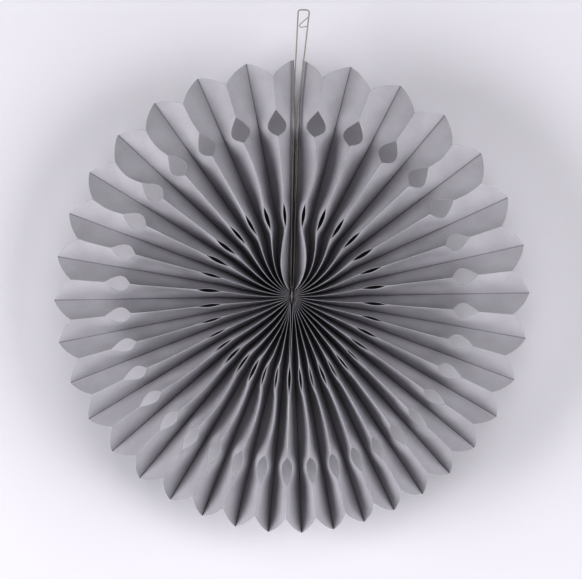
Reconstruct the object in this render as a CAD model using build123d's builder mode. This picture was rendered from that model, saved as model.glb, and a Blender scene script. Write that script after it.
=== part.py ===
"""Paper fan rosette on a hanging thread, in millimetres.

One strip of paper is folded like an accordion, tied round its waist and opened both ways into a full
round. The front faces -Y, +Z is up, and the origin is the middle of the rosette.
"""

import os
from math import cos, dist, pi, radians, sin, sqrt, tan

from build123d import *

# Folded sheet
outer_diameter = 300.0
panel_count = 35
panel_width = 22.0
paper_thickness = 0.2
top_opening = 13.3  # degrees by which the pleats beside the middle are pulled down from an even spread
side_lean = 3.1  # degrees by which both sides have slipped round clockwise

# Waist, where the pressed pack of panels is tied
waist_gap = 2.2
waist_height = 7.0
waist_notch = 4.5  # cut into both edges of the pack, so that the thread can't slip
waist_round = 1.2
vase_bulge = 5.2  # by which the pleats stand away from the top seam above the waist

# Seams, where the end panels of the two halves meet: a valley at the top and a ridge at the bottom
seam_start = 43.0
seam_flare = 2.6  # by which each end panel stands off at the rim of the top seam
strip_thickness = 0.3
strip_depth = 3.5
strip_start = 61.0

# Cut-outs, as wide as they are on the flat panel, and the straight steps that their curves are cut in
notch_depth = 11.3
petal_bulge = 1.2
petal_steps = 3
leaf_from_rim = 49.2
leaf_length = 17.0
leaf_half_width = 10.0
leaf_steps = 6
slit_start = 43.5
slit_length = 15.7
slit_half_width = 4.5
slit_steps = 4

# Thread, eight-sided
thread_diameter = 0.9
thread_sides = 8
thread_clearance = 0.1
waist_knot_diameter = 2.4
cross_thread_diameter = 0.6
thread_route = [
    (-0.8, 1.5, 5.4),
    (-2.2, 2.5, 121.0),
    (-1.0, 2.5, 181.0),
    (6.2, 2.5, 181.0),
    (0.8, 2.5, 121.0),
    (0.8, 1.5, 5.4),
]
cross_route = [
    (5.9, 2.5, 177.0),
    (-0.2, 2.5, 171.4),
    (0.9, 2.5, 169.8),
    (5.1, 2.5, 171.0),
]

# Worked out from the sizes above
outer_radius = outer_diameter / 2
notch_radius = outer_radius - notch_depth
leaf_start = outer_radius - leaf_from_rim
seam_end = leaf_start - 0.8
trim_allowance = 2.0
waist_side = (waist_gap + strip_thickness) / 2
waist_depth = panel_width - 2 * waist_notch
thread_radius = thread_diameter / 2
stations = [0.0] + [seam_start * share for share in (0.2, 0.42, 0.7, 1.0)]
stations += [(seam_start + seam_end) / 2, seam_end]
stations += [(seam_end + outer_radius) / 2, outer_radius + trim_allowance]


def fold_angle(side, fold):
    """Clockwise from the top in the front view, for folds counted from the top seam; side is 1 or -1."""
    even = side * pi * fold / panel_count
    return even + radians(top_opening) * sin(even) + radians(side_lean) * sin(even) ** 2


def in_front_view(angle, radius, aside=0.0):
    """The point (X, Z) at a radius, and so far clockwise of the ray at that angle."""
    return radius * sin(angle) + aside * cos(angle), radius * cos(angle) - aside * sin(angle)


def fold_point(side, fold, radius):
    """Where a fold line passes a radius, in the front view."""
    angle = fold_angle(side, fold)
    flare = 0.0
    if fold == 0 and radius > seam_end:
        flare = seam_flare * (radius - seam_end) / (outer_radius - seam_end)
    x, z = in_front_view(angle, max(radius, seam_start), side * flare)
    x += side * strip_thickness / 2
    if radius >= seam_start:
        return x, z
    # Straight from the waist, but for the pleats that stand away from the top seam on the way
    share = radius / seam_start
    waist_x, waist_z = side * waist_side, waist_height * (0.5 - fold / panel_count)
    bulge = vase_bulge * cos(angle / 2) ** 4 * sin(pi * share**0.85) if fold else 0.0
    x = waist_x + (x - waist_x) * share + side * bulge * cos(angle)
    z = waist_z + (z - waist_z) * share - side * bulge * sin(angle)
    return x, z


def fold_depths(side, fold, radius):
    """The fold's front and back Y: panels of one width stand the deeper, the closer their folds are."""
    here = fold_point(side, fold, radius)
    beside = [other for other in (fold - 1, fold + 1) if 0 <= other <= panel_count]
    spacing = sum(dist(here, fold_point(side, other, radius)) for other in beside) / len(beside)
    depth = sqrt(panel_width**2 - spacing**2)
    wall = min(paper_thickness * panel_width / spacing, depth)
    if fold % 2:
        return -depth / 2, -depth / 2 + wall
    return depth / 2 - wall, depth / 2


def half_sheet(side):
    """One half of the folded sheet. A panel turns from steep at the waist to flatter at the rim, so each
    cell of it is two flat triangles, split alike on the front and on the back."""
    edges = []
    for fold in range(panel_count + 1):
        plan = [(radius, *fold_point(side, fold, radius)) for radius in stations]
        edges.append([[(x, y, z) for y in fold_depths(side, fold, radius)] for radius, x, z in plan])
    last = len(stations) - 1
    outlines = []
    for fold in range(panel_count):
        this_fold, next_fold = edges[fold], edges[fold + 1]
        for cell in range(last):
            for skin in (0, 1):
                inner, outer = this_fold[cell][skin], this_fold[cell + 1][skin]
                next_inner, next_outer = next_fold[cell][skin], next_fold[cell + 1][skin]
                if fold % 2:
                    outlines.append([inner, next_inner, next_outer])
                    outlines.append([inner, next_outer, outer])
                else:
                    outlines.append([inner, next_inner, outer])
                    outlines.append([next_inner, next_outer, outer])
        for end in (0, last):
            outlines.append([*this_fold[end], *reversed(next_fold[end])])
    for seam in (edges[0], edges[panel_count]):
        for cell in range(last):
            outlines.append([*seam[cell], *reversed(seam[cell + 1])])
    # The halves run round opposite ways, so the corners do too and all facets look outwards
    return Solid(Shell([Face(Wire.make_polygon(outline[::-side], close=True)) for outline in outlines]))


def plan_share(side, fold, radius):
    """How much of a panel's width shows in the front view beside a fold at a radius."""
    half_spacing = abs(fold_angle(side, fold + 1) - fold_angle(side, fold - 1)) / 2
    return 2 * radius * sin(half_spacing / 2) / panel_width


def leaf_edge(share):
    """A leaf hole's length so far and half width there, as shares: blunt inside, pointed at the rim."""
    rest = 1 - share
    along = 0.81 * rest**2 * share + 1.29 * rest * share**2 + share**3
    return along, 3.27 * rest**2 * share + 4.65 * rest * share**2


def slit_edge(share):
    return share, 4 * share * (1 - share)


def cut_outline(side, fold, begin, length, half_width, edge, steps):
    """A cut-out's corners in the front view, up one side of its ridge and down the other."""
    angle = fold_angle(side, fold)
    half_width *= plan_share(side, fold, begin + length / 2)
    corners = []
    for turned in (1, -1):
        for step in range(steps):
            along, width = edge(step / steps if turned > 0 else 1 - step / steps)
            corners.append(in_front_view(angle, begin + length * along, turned * half_width * width))
    return corners


def petal_edge(notch, tip):
    """The rim of one panel, bulging outwards from its notch to its tip."""
    notch, tip = Vector(*notch), Vector(*tip)
    across = Vector(tip.Y - notch.Y, notch.X - tip.X).normalized()
    outward = across if across.dot(tip) > 0 else -across
    points = []
    for step in range(petal_steps + 1):
        share = step / petal_steps
        points.append(notch + (tip - notch) * share + outward * petal_bulge * 4 * share * (1 - share))
    return points


def tube_radii(route):
    """The largest bend at each corner of a route that its two runs allow."""
    radii = []
    for before, corner, after in zip(route, route[1:], route[2:]):
        arriving = Vector(corner) - Vector(before)
        leaving = Vector(after) - Vector(corner)
        turn = radians(arriving.get_angle(leaving))
        radii.append(0.45 * min(arriving.length, leaving.length) / tan(turn / 2))
    return radii


# Ridges in the front view: the two halves share the one at the bottom seam
ridges = [(1, fold) for fold in range(1, panel_count + 1, 2)]
ridges += [(-1, fold) for fold in range(1, panel_count, 2)]

with BuildPart() as pleated_paper:
    add([half_sheet(1), half_sheet(-1)])
    with BuildSketch(Plane.YZ.offset(-waist_side)):
        RectangleRounded(waist_depth, waist_height, waist_round)
    extrude(amount=2 * waist_side)
    # Petals, from each notch on a ridge to the pointed tips on the valleys beside it
    with BuildSketch(Plane.XZ.offset(-panel_width)) as petals:
        with BuildLine():
            for side, fold in ridges:
                notch = in_front_view(fold_angle(side, fold), notch_radius)
                for neighbour in (fold - 1, fold + 1):
                    tip_aside = 0 if neighbour else side * seam_flare
                    tip = in_front_view(fold_angle(side, neighbour), outer_radius, tip_aside)
                    Polyline(*petal_edge(notch, tip))
            Line((-seam_flare, outer_radius), (seam_flare, outer_radius))
        make_face()
    extrude(amount=2 * panel_width, mode=Mode.INTERSECT)
    # Leaf holes and, nearer the waist, slits
    with BuildSketch(Plane.XZ.offset(-panel_width)) as cut_outs:
        for side, fold in ridges:
            leaf = cut_outline(side, fold, leaf_start, leaf_length, leaf_half_width, leaf_edge, leaf_steps)
            slit = cut_outline(side, fold, slit_start, slit_length, slit_half_width, slit_edge, slit_steps)
            for outline in (leaf, slit):
                with BuildLine():
                    Polyline(*outline, close=True)
                make_face()
    extrude(amount=2 * panel_width, mode=Mode.SUBTRACT)
pleated_paper.part.label = "pleated_paper"


def seam_strip_outline(fold, upward):
    """The strip's corners (Y, Z) between the end panels, from the fold's edge into the open pleat."""
    ends = []
    for radius in (strip_start, seam_end):
        front, back = fold_depths(1, fold, radius)
        ends.append((front if fold % 2 else back, upward * radius))
    inward = strip_depth if fold % 2 else -strip_depth
    return ends + [(y + inward, z) for y, z in reversed(ends)]


with BuildPart() as top_seam_strip:
    with BuildSketch(Plane.YZ):
        with BuildLine():
            Polyline(*seam_strip_outline(0, 1), close=True)
        make_face()
    extrude(amount=strip_thickness / 2, both=True)
top_seam_strip.part.label = "top_seam_strip"

with BuildPart() as bottom_seam_strip:
    with BuildSketch(Plane.YZ):
        with BuildLine():
            Polyline(*seam_strip_outline(panel_count, -1), close=True)
        make_face()
    extrude(amount=strip_thickness / 2, both=True)
bottom_seam_strip.part.label = "bottom_seam_strip"

# Tie round the waist, lying in the notches of the pack
tie_offset = thread_clearance + thread_radius
with BuildPart() as waist_tie:
    with BuildSketch(Plane.YZ, mode=Mode.PRIVATE) as tie_loop:
        tie_depth, tie_height = waist_depth + 2 * tie_offset, waist_height + 2 * tie_offset
        RectangleRounded(tie_depth, tie_height, waist_round + tie_offset)
    tie_path = tie_loop.sketch.wire()
    with BuildSketch(Plane(origin=tie_path @ 0, z_dir=tie_path % 0)):
        RegularPolygon(thread_radius, thread_sides)
    sweep(path=tie_path)
waist_tie.part.label = "waist_tie"

# Hanging thread: two strands from the waist through the top seam, and the loop that joins them
loop_radii = tube_radii(thread_route)
with BuildPart() as hanging_thread:
    with BuildLine() as loop_line:
        FilletPolyline(*thread_route, radius=loop_radii)
    loop_path = loop_line.wire()
    with BuildSketch(Plane(origin=loop_path @ 0, z_dir=loop_path % 0)):
        RegularPolygon(thread_radius, thread_sides)
    sweep(path=loop_path)
hanging_thread.part.label = "hanging_thread"

knot_height = waist_height / 2 + tie_offset + waist_knot_diameter / 2
with BuildPart() as waist_knot:
    with Locations((0, thread_route[0][1], knot_height)):
        Sphere(waist_knot_diameter / 2)
    add(waist_tie.part, mode=Mode.SUBTRACT)
    add(hanging_thread.part, mode=Mode.SUBTRACT)
waist_knot.part.label = "waist_knot"

# Knot in the loop: a thinner tail that crosses between the two strands
cross_radii = tube_radii(cross_route)
with BuildPart() as loop_knot:
    with BuildLine() as cross_line:
        FilletPolyline(*cross_route, radius=cross_radii)
    cross_path = cross_line.wire()
    with BuildSketch(Plane(origin=cross_path @ 0, z_dir=cross_path % 0)):
        RegularPolygon(cross_thread_diameter / 2, thread_sides)
    sweep(path=cross_path)
    add(hanging_thread.part, mode=Mode.SUBTRACT)
loop_knot.part.label = "loop_knot"

print("bend radii of the thread", [round(radius, 1) for radius in loop_radii + cross_radii])
print("length of the thread", round(loop_path.length, 1))

os.makedirs("parts", exist_ok=True)
for piece in (
    pleated_paper,
    top_seam_strip,
    bottom_seam_strip,
    waist_tie,
    waist_knot,
    hanging_thread,
    loop_knot,
):
    export_step(piece.part, f"parts/{piece.part.label}.step")
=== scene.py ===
"""Paper fan rosette on its thread: one die-cut sheet in accordion folds, opened into a full round.

The front faces -Y, +Z is up and the origin is the middle of the rosette. Sizes of the fan are in
millimetres, those of the wall, the lights and the camera in metres.
"""

import math
import random

import bmesh
import bpy
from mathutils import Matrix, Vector


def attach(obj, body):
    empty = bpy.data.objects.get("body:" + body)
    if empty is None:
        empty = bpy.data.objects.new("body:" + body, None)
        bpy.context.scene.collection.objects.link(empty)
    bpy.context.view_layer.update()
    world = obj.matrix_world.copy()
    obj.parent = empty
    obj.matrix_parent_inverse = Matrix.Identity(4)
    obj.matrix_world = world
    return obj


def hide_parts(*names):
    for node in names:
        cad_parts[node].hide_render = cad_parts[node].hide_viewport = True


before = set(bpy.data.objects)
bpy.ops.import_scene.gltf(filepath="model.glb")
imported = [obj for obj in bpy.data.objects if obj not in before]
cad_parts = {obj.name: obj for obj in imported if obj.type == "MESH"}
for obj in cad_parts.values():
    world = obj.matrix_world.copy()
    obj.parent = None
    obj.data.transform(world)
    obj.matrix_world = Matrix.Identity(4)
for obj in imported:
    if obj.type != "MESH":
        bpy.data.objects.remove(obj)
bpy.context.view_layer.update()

MM = 0.001

# Folded sheet
OUTER_RADIUS = 150.0
PANELS = 35
PANEL_WIDTH = 22.0
PAPER = 0.2
TOP_OPENING = math.radians(13.3)
SIDE_LEAN = math.radians(3.1)

# Waist: half width and height of the pressed pack, and the width left between the notches for the tie
WAIST_SIDE = 0.75
WAIST_HEIGHT = 6.4
WAIST_WIDTH = 11.8
WAIST_END = 4.0  # radius where the panels have their full width again

# Pleats that stand away from their straight line between the waist and the start of the seams
VASE_BULGE = 5.2  # on both sides of the top seam
VASE_LEAN = 0.8  # of the whole vase, to the right
VASE_WIDEST = 0.78  # under 1, the widest place is nearer to the waist than to the seam
LOW_BULGE = 2.6  # at the lower left, towards the bottom seam
LOW_BULGE_ANGLE, LOW_BULGE_SPREAD = 212, 20

# Seams, where the end panels of the two halves meet
SEAM_START = 43.0
SEAM_END = 100.0
SEAM_FLARE = 2.6
STRIP = 0.32  # with the room that the tape has between the papers

# Cut-outs on the flat panel
NOTCH_RADIUS = 138.7
PETAL_BULGE = 1.5
LEAF_START, LEAF_LENGTH, LEAF_HALF_WIDTH = 100.8, 17.0, 10.0
LEAF_WIDER, LEAF_WIDER_TOP = 1.05, 0.15  # times the width, all round and added towards the top
SLIT_START, SLIT_LENGTH, SLIT_HALF_WIDTH = 43.5, 15.7, 4.5
LEAF_END = LEAF_START + LEAF_LENGTH
SLIT_END = SLIT_START + SLIT_LENGTH

# Ridges that have buckled: how far clockwise, the angle where it is most, and its spread in degrees
SLIT_LEANS = ((1.2, 195, 38),)
INNER_LEANS = ((3.6, 5, 12), (1.8, 343, 6), (-2.0, 357, 4), (-2.2, 197, 36))
OUTER_LEANS = ((2.0, 48, 12), (-2.5, 308, 18))
SLIT_LEAN_ZONE = (SLIT_START - 4, SLIT_END + 4)

# Curl of the paper, as shares of a panel's width in the front view: the ridges stand like blades
HOLLOW = 0.15
RIM_HOLLOW, RIM_HOLLOW_TOP = 0.02, 0.03  # all round, and more of it towards the top
MOST_HOLLOW = 0.135  # more, and the two panels of a ridge would pass through each other
HOLLOW_START = 12.0  # radius where the hollow is full
CURL_PEAK = 27 / 4  # makes the highest place of the curl's cross-section 1
SLIT_STRAIGHT = 0.95  # share of the hollow that is lost beside the slits
SLIT_STRAIGHT_ZONE = (SLIT_START - 5, SLIT_END + 5)
SEAM_STRAIGHT, SEAM_STRAIGHT_SPREAD = 0.7, 5  # the same beside the top seam
SEAM_STRAIGHT_ZONE = (4, 60)
RIM_CURL_ZONE = (88, 102)  # radii between which the curl gives way to that of the rim

# Bow and waves that each panel has of its own, and the radius where they are full
BOW = 0.3
WAVE, WAVE_RUN, WAVE_SHIFT = 0.3, 11.0, 40.0
BOW_START = 60.0

# Rim, where the pleats are shallower than their width gives: most at the sides, not at the bottom
RIM_FLAT, RIM_FLAT_SIDES = 0.32, 0.6
RIM_FLAT_ZONE = (95, 120)

# Worn ridges: how much they are rounded, the radius where it is full, and the share lost at the rim
CREST_DROP = 0.25
CREST_START = 40.0
CREST_LOST = 0.8
CREST_LOST_ZONE = (92, 102)

# Mesh of the sheet: columns of a panel, closer at its folds, and rows of each zone from the waist out
COLUMNS = (0, 0.02, 0.08, 0.25, 0.5, 0.75, 0.92, 0.98)
PACK_RADII = (0.0, 0.02, 0.04)
WAIST_ROWS, SLIT_ROWS, PANEL_ROWS, LEAF_ROWS, RIM_ROWS = 14, 14, 12, 14, 10
ON_RIDGE = 0.01  # share of a panel's width

# Thread: two taut strands from the waist knot with the loop above, and the tail that knots the loop
THREAD = 0.9
TAIL_THREAD = 0.6
STRAND_POINTS = (
    (-0.8, 1.5, 5.4), (-1.5, 2.0, 63), (-2.1, 2.5, 115), (-2.1, 2.5, 125), (-1.5, 2.5, 155),
    (-1.0, 2.5, 178), (-0.9, 2.5, 181), (2.6, 2.5, 181.4), (6.1, 2.5, 181), (5.9, 2.5, 178),
    (3.9, 2.5, 155), (1.2, 2.5, 125), (0.8, 2.5, 115), (0.8, 2.0, 63), (0.8, 1.5, 5.4),
)
TAIL_POINTS = (
    (5.9, 2.5, 177), (2.0, 2.3, 173.6), (-0.2, 2.5, 171.4), (0.9, 2.5, 169.8), (5.1, 2.5, 171),
)

# Colours
# The last paper colour is painted shade, laid along the valley folds
PAPER_DARK, PAPER_LIGHT, PAPER_VALLEY_SHADE = "#99979D", "#A8A6AC", "#59575C"
CLOUD_SIZE, FIBRE_SIZE = 0.02, 0.0009  # metres
THREAD_COLOUR = "#8C8784"
TAPE_COLOUR = "#B4B3B2"
# The dark wall colour is painted shade, for the shadow behind the middle of the fan
WALL_PAINT, WALL_SHADE_COLOUR = "#C8C6CC", "#1C1C1E"
WORLD_COLOUR = "#F2F2F6"

# Wall, lights and camera
WALL_BEHIND = 0.050
WALL_HALF_SIZE = 1.5
WALL_SHADE = (0.076, 0.091)  # from the fan's middle: painted shade up to the first, plain paint from the second
LIGHTS = (  # name, place, width and height, watts
    ("left_light", (-1.2, -0.69, -0.2), (0.85, 0.85), 26),
    ("right_light", (1.17, -0.79, -0.1), (1.3, 0.9), 24.5),
    ("low_light", (0, -0.56, -1.92), (3.2, 0.8), 26),
    ("front_light", (0.05, -1.0, 0.28), (0.5, 0.5), 3.6),
)
WORLD_STRENGTH = 0.02
GAMMA = 0.75
CAMERA_PLACE = (-0.0006, -1.2, 0.00455)
CAMERA_ROLL = math.radians(-1.6)
CAMERA_LENS, CAMERA_SENSOR = 117.8, 36.0  # millimetres

rng = random.Random(35)


def hump(value, start, end):
    """Rises from 0 at start to 1 halfway and falls back to 0 at end."""
    share = (value - start) / (end - start)
    return math.sin(math.pi * share) if 0 < share < 1 else 0.0


def rise(value, start, end):
    """Goes smoothly from 0 at start to 1 at end."""
    share = min(1, max(0, (value - start) / (end - start)))
    return share * share * (3 - 2 * share)


def near(angle, middle, spread):
    """1 at an angle in degrees, falling away on both sides of it."""
    apart = (math.degrees(angle) - middle + 180) % 360 - 180
    return math.exp(-(apart / spread) ** 2)


def fold_angle(side, fold):
    """Clockwise from the top in the front view, for folds counted from the top seam.

    The side is 1 for the right half and -1 for the left one.
    """
    even = side * math.pi * fold / PANELS
    return even + TOP_OPENING * math.sin(even) + SIDE_LEAN * math.sin(even) ** 2


def lean_at(leans, angle):
    return sum(size * near(angle, middle, spread) for size, middle, spread in leans)


def crest_lean(angle, radius):
    """How far clockwise a ridge has buckled: at the slit, from it to the leaf, and on to the notch."""
    lean = lean_at(SLIT_LEANS, angle) * hump(radius, *SLIT_LEAN_ZONE)
    lean += lean_at(INNER_LEANS, angle) * hump(radius, SLIT_END, LEAF_START)
    return lean + lean_at(OUTER_LEANS, angle) * hump(radius, LEAF_END, NOTCH_RADIUS)


def panel_curl(angle, radius):
    """How far a panel bows out between its folds, as a share of its width in the front view."""
    rim_curl = -(RIM_HOLLOW + RIM_HOLLOW_TOP * math.cos(angle))
    curl = -HOLLOW * (1 - SLIT_STRAIGHT * hump(radius, *SLIT_STRAIGHT_ZONE))
    at_seam = near(angle, 0, SEAM_STRAIGHT_SPREAD) * hump(radius, *SEAM_STRAIGHT_ZONE)
    curl *= 1 - SEAM_STRAIGHT * at_seam
    curl += (rim_curl - curl) * rise(radius, *RIM_CURL_ZONE)
    return curl * min(1, radius / HOLLOW_START)


def fold_plan(side, fold, radius):
    """Where a fold passes a radius in the front view: X and Z."""
    angle = fold_angle(side, fold)
    aside = crest_lean(angle, radius) if fold % 2 and fold < PANELS else 0.0
    if fold == 0 and radius > SEAM_END:
        aside = side * SEAM_FLARE * (radius - SEAM_END) / (OUTER_RADIUS - SEAM_END)
    reach = max(radius, SEAM_START)
    x = reach * math.sin(angle) + aside * math.cos(angle) + side * (STRIP + PAPER) / 2
    z = reach * math.cos(angle) - aside * math.sin(angle)
    if radius >= SEAM_START:
        return x, z
    # Straight from the waist, but for the pleats that bulge on the way
    share = radius / SEAM_START
    waist_x = side * WAIST_SIDE if radius else 0.0
    waist_z = WAIST_HEIGHT * (0.5 - fold / PANELS)
    bulge = 0.0
    if 0 < fold < PANELS:
        bulge = (side * VASE_BULGE + VASE_LEAN * share) * math.cos(angle / 2) ** 4
    bulge -= LOW_BULGE * near(angle, LOW_BULGE_ANGLE, LOW_BULGE_SPREAD)
    bulge *= math.sin(math.pi * share**VASE_WIDEST)
    x = waist_x + (x - waist_x) * share + bulge * math.cos(angle)
    z = waist_z + (z - waist_z) * share - bulge * math.sin(angle)
    return x, z


def fold_lines(side, radius):
    """Every fold at a radius as X, Y and Z.

    The panels have one width, so the closer their folds are, the deeper they stand.
    """
    plan = [fold_plan(side, fold, radius) for fold in range(PANELS + 1)]
    gaps = [math.dist(a, b) for a, b in zip(plan, plan[1:])]
    width = WAIST_WIDTH + (PANEL_WIDTH - WAIST_WIDTH) * rise(radius, 0, WAIST_END)
    lines = []
    for fold, (x, z) in enumerate(plan):
        beside = gaps[max(0, fold - 1):fold + 1]
        depth = math.sqrt(width**2 - (sum(beside) / len(beside)) ** 2) - PAPER
        angle = fold_angle(side, fold)
        flat = RIM_FLAT * (math.cos(angle / 2) + RIM_FLAT_SIDES * math.sin(angle) ** 2)
        depth *= 1 - flat * rise(radius, *RIM_FLAT_ZONE)
        lines.append(Vector((x, -depth / 2 if fold % 2 else depth / 2, z)))
    return lines


def leaf_cut(share):
    """Distance from the middle along a leaf hole, and its half width there."""
    rest = 1 - share
    along = 0.81 * rest**2 * share + 1.29 * rest * share**2 + share**3
    across = 3.27 * rest**2 * share + 4.65 * rest * share**2
    return LEAF_START + LEAF_LENGTH * along, LEAF_HALF_WIDTH * across


def slit_cut(share):
    """The same for a slit."""
    return SLIT_START + SLIT_LENGTH * share, SLIT_HALF_WIDTH * 4 * share * (1 - share)


def row_cuts():
    """Radius of every row from the waist to the rim, and the half width of the cut on its ridges."""
    panel_step = (LEAF_START - SLIT_END) / PANEL_ROWS
    rim_step = (OUTER_RADIUS - LEAF_END) / RIM_ROWS
    rows = [(radius, 0.0) for radius in PACK_RADII]
    rows += [(SLIT_START * n / WAIST_ROWS, 0.0) for n in range(1, WAIST_ROWS)]
    rows += [slit_cut(n / SLIT_ROWS) for n in range(SLIT_ROWS)]
    rows += [(SLIT_END + panel_step * n, 0.0) for n in range(PANEL_ROWS)]
    rows += [leaf_cut(n / LEAF_ROWS) for n in range(LEAF_ROWS)]
    rows += [(LEAF_END + rim_step * n, 0.0) for n in range(RIM_ROWS + 1)]
    return rows


def rim_radius(share):
    """Radius of the petal rim across a panel, from the notch on its ridge to the tip on its valley."""
    petal = (OUTER_RADIUS - NOTCH_RADIUS) * share + PETAL_BULGE * 4 * share * (1 - share)
    return NOTCH_RADIUS + petal


def panel_point(side, panel, from_ridge, radius, lines, bow):
    """A point of a panel, so far from its ridge towards its valley, on the curled paper."""
    ridge, valley = lines[panel], lines[panel + 1]
    if panel % 2 == 0:
        ridge, valley = valley, ridge
    point = ridge.lerp(valley, from_ridge)
    run = valley - ridge
    outward = Vector((run.z, 0, -run.x)).cross(run)
    if outward.length > 1e-9:
        outward.normalize()
        if outward.y > 0:
            outward.negate()
        gap = math.hypot(run.x, run.z)
        curl = gap * panel_curl(fold_angle(side, panel + 0.5), radius)
        # The end panels are taped, so they lie straight
        if 0 < panel < PANELS - 1:
            wave = WAVE * math.sin(radius / WAVE_RUN + WAVE_SHIFT * bow)
            curl += (bow + wave) * min(1, radius / BOW_START)
        curl = max(curl, -MOST_HOLLOW * gap)
        point += outward * curl * CURL_PEAK * from_ridge * (1 - from_ridge) ** 2
    if from_ridge < ON_RIDGE:
        kept = 1 - CREST_LOST * rise(radius, *CREST_LOST_ZONE)
        point.y += CREST_DROP * min(1, radius / CREST_START) * kept
    return point


def pleated_sheet():
    """A flat grid, slit along the ridges where it is die-cut, and laid on the fold lines."""
    rows = row_cuts()
    half_rows = len(rows) - 1
    steps = len(COLUMNS)
    columns = PANELS * steps
    mesh = bmesh.new()
    uv = mesh.loops.layers.uv.new("sheet")
    bmesh.ops.create_grid(mesh, x_segments=columns, y_segments=2 * half_rows, size=1)

    def grid_place(vert):
        column = round((vert.co.x + 1) / 2 * columns)
        return column, round((vert.co.y + 1) * half_rows) - half_rows

    cuts = []
    for edge in mesh.edges:
        (column, row), (other_column, other_row) = (grid_place(vert) for vert in edge.verts)
        on_ridge = column == other_column and column % steps == 0 and column // steps % 2
        if on_ridge and (rows[abs(row)][1] > 0 or rows[abs(other_row)][1] > 0):
            cuts.append(edge)
    bmesh.ops.split_edges(mesh, edges=cuts)

    bows = {(side, panel): rng.uniform(-BOW, BOW) for side in (1, -1) for panel in range(PANELS)}
    folds = {}
    moved = {}
    for vert in mesh.verts:
        column, row = grid_place(vert)
        side = 1 if row >= 0 else -1
        radius, half_cut = rows[abs(row)]
        panel, step = divmod(column, steps)
        share = COLUMNS[step]
        # On a fold, a vertex goes with the panel that its faces are in
        faces_x = [face.calc_center_median().x for face in vert.link_faces]
        if step == 0 and sum(faces_x) / len(faces_x) < vert.co.x - 1e-6 or panel == PANELS:
            panel, share = panel - 1, 1.0
        from_ridge = share if panel % 2 else 1 - share
        if LEAF_START < radius < LEAF_END:
            half_cut *= LEAF_WIDER + LEAF_WIDER_TOP * math.cos(fold_angle(side, panel + 0.5))
        cut = half_cut / PANEL_WIDTH
        from_ridge = cut + (1 - cut) * from_ridge
        if radius > LEAF_END:
            stretch = (rim_radius(from_ridge) - LEAF_END) / (OUTER_RADIUS - LEAF_END)
            radius = LEAF_END + (radius - LEAF_END) * stretch
        key = (side, round(radius, 4))
        if key not in folds:
            folds[key] = fold_lines(side, radius)
        bow = bows[side, panel]
        moved[vert] = panel_point(side, panel, from_ridge, radius, folds[key], bow) * MM
        across = panel + (from_ridge if panel % 2 else 1 - from_ridge)
        for loop in vert.link_loops:
            loop[uv].uv = (across, 0.5 + side * radius / (2 * OUTER_RADIUS))
    for vert, point in moved.items():
        vert.co = point
    for face in mesh.faces:
        face.smooth = True
    for edge in mesh.edges:
        edge.smooth = not edge.is_boundary
    data = bpy.data.meshes.new("pleated_sheet")
    mesh.to_mesh(data)
    mesh.free()
    sheet = bpy.data.objects.new("pleated_sheet", data)
    bpy.context.collection.objects.link(sheet)
    thickness = sheet.modifiers.new("thickness", "SOLIDIFY")
    thickness.thickness = PAPER * MM
    thickness.offset = 0
    return sheet


def thread_curve(name, points, diameter):
    """A round thread along a smooth line through the points."""
    curve = bpy.data.curves.new(name, "CURVE")
    curve.dimensions = "3D"
    curve.bevel_depth = diameter / 2 * MM
    curve.bevel_resolution = 3
    curve.use_fill_caps = True
    spline = curve.splines.new("NURBS")
    spline.points.add(len(points) - 1)
    for place, point in zip(spline.points, points):
        place.co = [value * MM for value in point] + [1.0]
    spline.order_u = 3
    spline.use_endpoint_u = True
    spline.resolution_u = 8
    thread = bpy.data.objects.new(name, curve)
    bpy.context.collection.objects.link(thread)
    return thread


def linear(hex_colour):
    """A colour picked as sRGB hex, as the renderer's linear values."""
    values = [int(hex_colour[i:i + 2], 16) / 255 for i in (1, 3, 5)]
    return [v / 12.92 if v <= 0.04045 else ((v + 0.055) / 1.055) ** 2.4 for v in values] + [1.0]


def feed(tree, socket, value):
    """Links an input to a value that is an output socket, or else sets it."""
    if isinstance(value, bpy.types.NodeSocket):
        tree.links.new(value, socket)
    else:
        socket.default_value = value


def add_node(tree, kind, settings=None, **inputs):
    """A shader node with its properties and its named inputs set."""
    node = tree.nodes.new(kind)
    for name, value in (settings or {}).items():
        setattr(node, name, value)
    for name, value in inputs.items():
        feed(tree, node.inputs[name.replace("_", " ")], value)
    return node


def calculate(tree, operation, *values):
    node = add_node(tree, "ShaderNodeMath", {"operation": operation})
    for socket, value in zip(node.inputs, values):
        feed(tree, socket, value)
    return node.outputs["Value"]


def mix_colours(tree, factor, first, second):
    node = add_node(tree, "ShaderNodeMix", {"data_type": "RGBA"}, Factor=factor)
    # The sockets for colours come after those for numbers and vectors, under the same names
    feed(tree, node.inputs[6], first)
    feed(tree, node.inputs[7], second)
    return node.outputs[2]


def fade(tree, value, start, end, low=0.0, high=1.0):
    """Goes smoothly from low to high while the value goes from start to end."""
    node = add_node(
        tree, "ShaderNodeMapRange", {"interpolation_type": "SMOOTHSTEP"},
        Value=value, From_Min=start, From_Max=end, To_Min=low, To_Max=high,
    )
    return node.outputs["Result"]


def new_material(name):
    """An empty material, its node tree and the input that takes its shader."""
    material = bpy.data.materials.new(name)
    material.use_nodes = True
    tree = material.node_tree
    tree.nodes.clear()
    output = tree.nodes.new("ShaderNodeOutputMaterial")
    return material, tree, output.inputs["Surface"]


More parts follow.
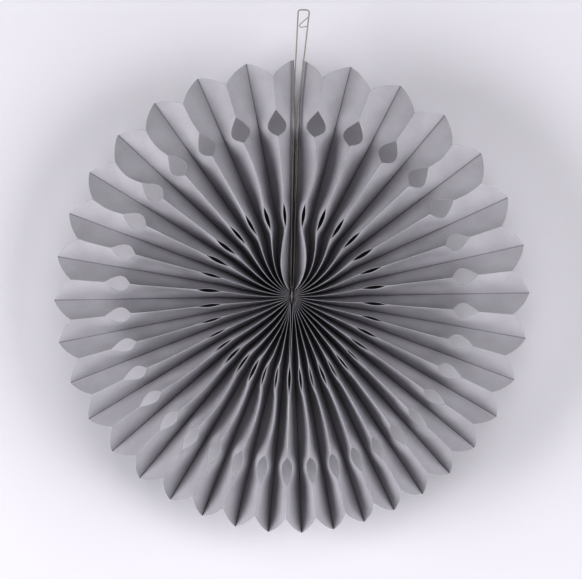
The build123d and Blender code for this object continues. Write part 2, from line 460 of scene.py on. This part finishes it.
def paper_material():
    """Uncoated paper: cloudy, with fine fibres and with painted shade along the valley creases."""
    material, tree, surface = new_material("grey_paper")
    where = add_node(tree, "ShaderNodeTexCoord")
    place = where.outputs["Object"]
    cloud = add_node(tree, "ShaderNodeTexNoise", Vector=place, Scale=1 / CLOUD_SIZE, Detail=3.0)
    fibre = add_node(tree, "ShaderNodeTexNoise", Vector=place, Scale=1 / FIBRE_SIZE, Detail=2.0)
    clouds = fade(tree, cloud.outputs["Fac"], 0.3, 0.7, 0.0, 0.5)
    blend = calculate(tree, "MULTIPLY_ADD", fibre.outputs["Fac"], 0.5, clouds)
    colour = mix_colours(tree, blend, linear(PAPER_DARK), linear(PAPER_LIGHT))
    # The sheet's map counts the panels: a valley is on each even number and a ridge on each odd one
    across = add_node(tree, "ShaderNodeSeparateXYZ", Vector=where.outputs["UV"])
    from_valley = calculate(tree, "PINGPONG", across.outputs["X"], 1.0)
    # Painted shade along each valley fold, for the shade that falls into the crease
    valley_shade = fade(tree, from_valley, 0.0, 0.05, 0.6, 0.0)
    colour = mix_colours(tree, valley_shade, colour, linear(PAPER_VALLEY_SHADE))
    shader = add_node(
        tree, "ShaderNodeBsdfPrincipled",
        Base_Color=colour, Roughness=0.92, Specular_IOR_Level=0.15,
    )
    feed(tree, surface, shader.outputs["BSDF"])
    return material


def plain_material(name, hex_colour, roughness):
    material, tree, surface = new_material(name)
    colour = linear(hex_colour)
    shader = add_node(tree, "ShaderNodeBsdfPrincipled", Base_Color=colour, Roughness=roughness)
    feed(tree, surface, shader.outputs["BSDF"])
    return material


def wall_material():
    """Paint that shows from the front only.

    It has painted shade behind the middle, a shadow for the light that the pleats keep out where they
    are close to the wall.
    """
    material, tree, surface = new_material("painted_wall")
    from_middle = add_node(tree, "ShaderNodeVectorMath", {"operation": "LENGTH"})
    feed(tree, from_middle.inputs[0], add_node(tree, "ShaderNodeTexCoord").outputs["Object"])
    # Painted shadow on the wall behind the middle of the fan
    lit = fade(tree, from_middle.outputs["Value"], *WALL_SHADE)
    colour = mix_colours(tree, lit, linear(WALL_SHADE_COLOUR), linear(WALL_PAINT))
    shader = add_node(tree, "ShaderNodeBsdfPrincipled", Base_Color=colour, Roughness=0.9)
    clear = add_node(tree, "ShaderNodeBsdfTransparent")
    side_seen = add_node(tree, "ShaderNodeNewGeometry")
    one_way = add_node(tree, "ShaderNodeMixShader", Fac=side_seen.outputs["Backfacing"])
    feed(tree, one_way.inputs[1], shader.outputs["BSDF"])
    feed(tree, one_way.inputs[2], clear.outputs["BSDF"])
    feed(tree, surface, one_way.outputs["Shader"])
    return material


def upright_wall():
    mesh = bmesh.new()
    bmesh.ops.create_grid(mesh, x_segments=1, y_segments=1, size=WALL_HALF_SIZE)
    for vert in mesh.verts:
        vert.co = (vert.co.x, WALL_BEHIND, vert.co.y)
    data = bpy.data.meshes.new("wall")
    mesh.to_mesh(data)
    mesh.free()
    wall = bpy.data.objects.new("wall", data)
    bpy.context.collection.objects.link(wall)
    return wall


def area_light(name, place, size, power):
    """A rectangular light that is aimed at the middle of the fan."""
    light = bpy.data.lights.new(name, "AREA")
    light.shape = "RECTANGLE"
    light.size, light.size_y = size
    light.energy = power
    lamp = bpy.data.objects.new(name, light)
    lamp.location = place
    lamp.rotation_euler = (-Vector(place)).to_track_quat("-Z", "Y").to_euler()
    bpy.context.collection.objects.link(lamp)


paper = paper_material()
thread_cotton = plain_material("cotton_thread", THREAD_COLOUR, 0.85)
tape = plain_material("double_sided_tape", TAPE_COLOUR, 0.8)

sheet = pleated_sheet()
sheet.data.materials.append(paper)
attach(sheet, "root")
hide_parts("pleated_paper")

thread = thread_curve("hanging_thread_strands", STRAND_POINTS, THREAD)
tail = thread_curve("loop_knot_tail", TAIL_POINTS, TAIL_THREAD)
for piece, node in ((thread, "hanging_thread"), (tail, "loop_knot")):
    piece.data.materials.append(thread_cotton)
    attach(piece, "root")
    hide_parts(node)

for node, finish in (
    ("waist_tie", thread_cotton), ("waist_knot", thread_cotton),
    ("top_seam_strip", tape), ("bottom_seam_strip", tape),
):
    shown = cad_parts[node]
    shown.data.materials.clear()
    shown.data.materials.append(finish)

wall = upright_wall()
wall.data.materials.append(wall_material())

for name, place, size, power in LIGHTS:
    area_light(name, place, size, power)

world = bpy.data.worlds.new("studio")
world.use_nodes = True
background = world.node_tree.nodes["Background"]
background.inputs["Color"].default_value = linear(WORLD_COLOUR)
background.inputs["Strength"].default_value = WORLD_STRENGTH
scene = bpy.context.scene
scene.world = world
scene.view_settings.view_transform = "Standard"
scene.view_settings.gamma = GAMMA

camera_data = bpy.data.cameras.new("camera")
camera_data.sensor_width = CAMERA_SENSOR
camera_data.lens = CAMERA_LENS
camera = bpy.data.objects.new("camera", camera_data)
camera.location = CAMERA_PLACE
camera.rotation_euler = (math.radians(90), CAMERA_ROLL, 0)
bpy.context.collection.objects.link(camera)
scene.camera = camera
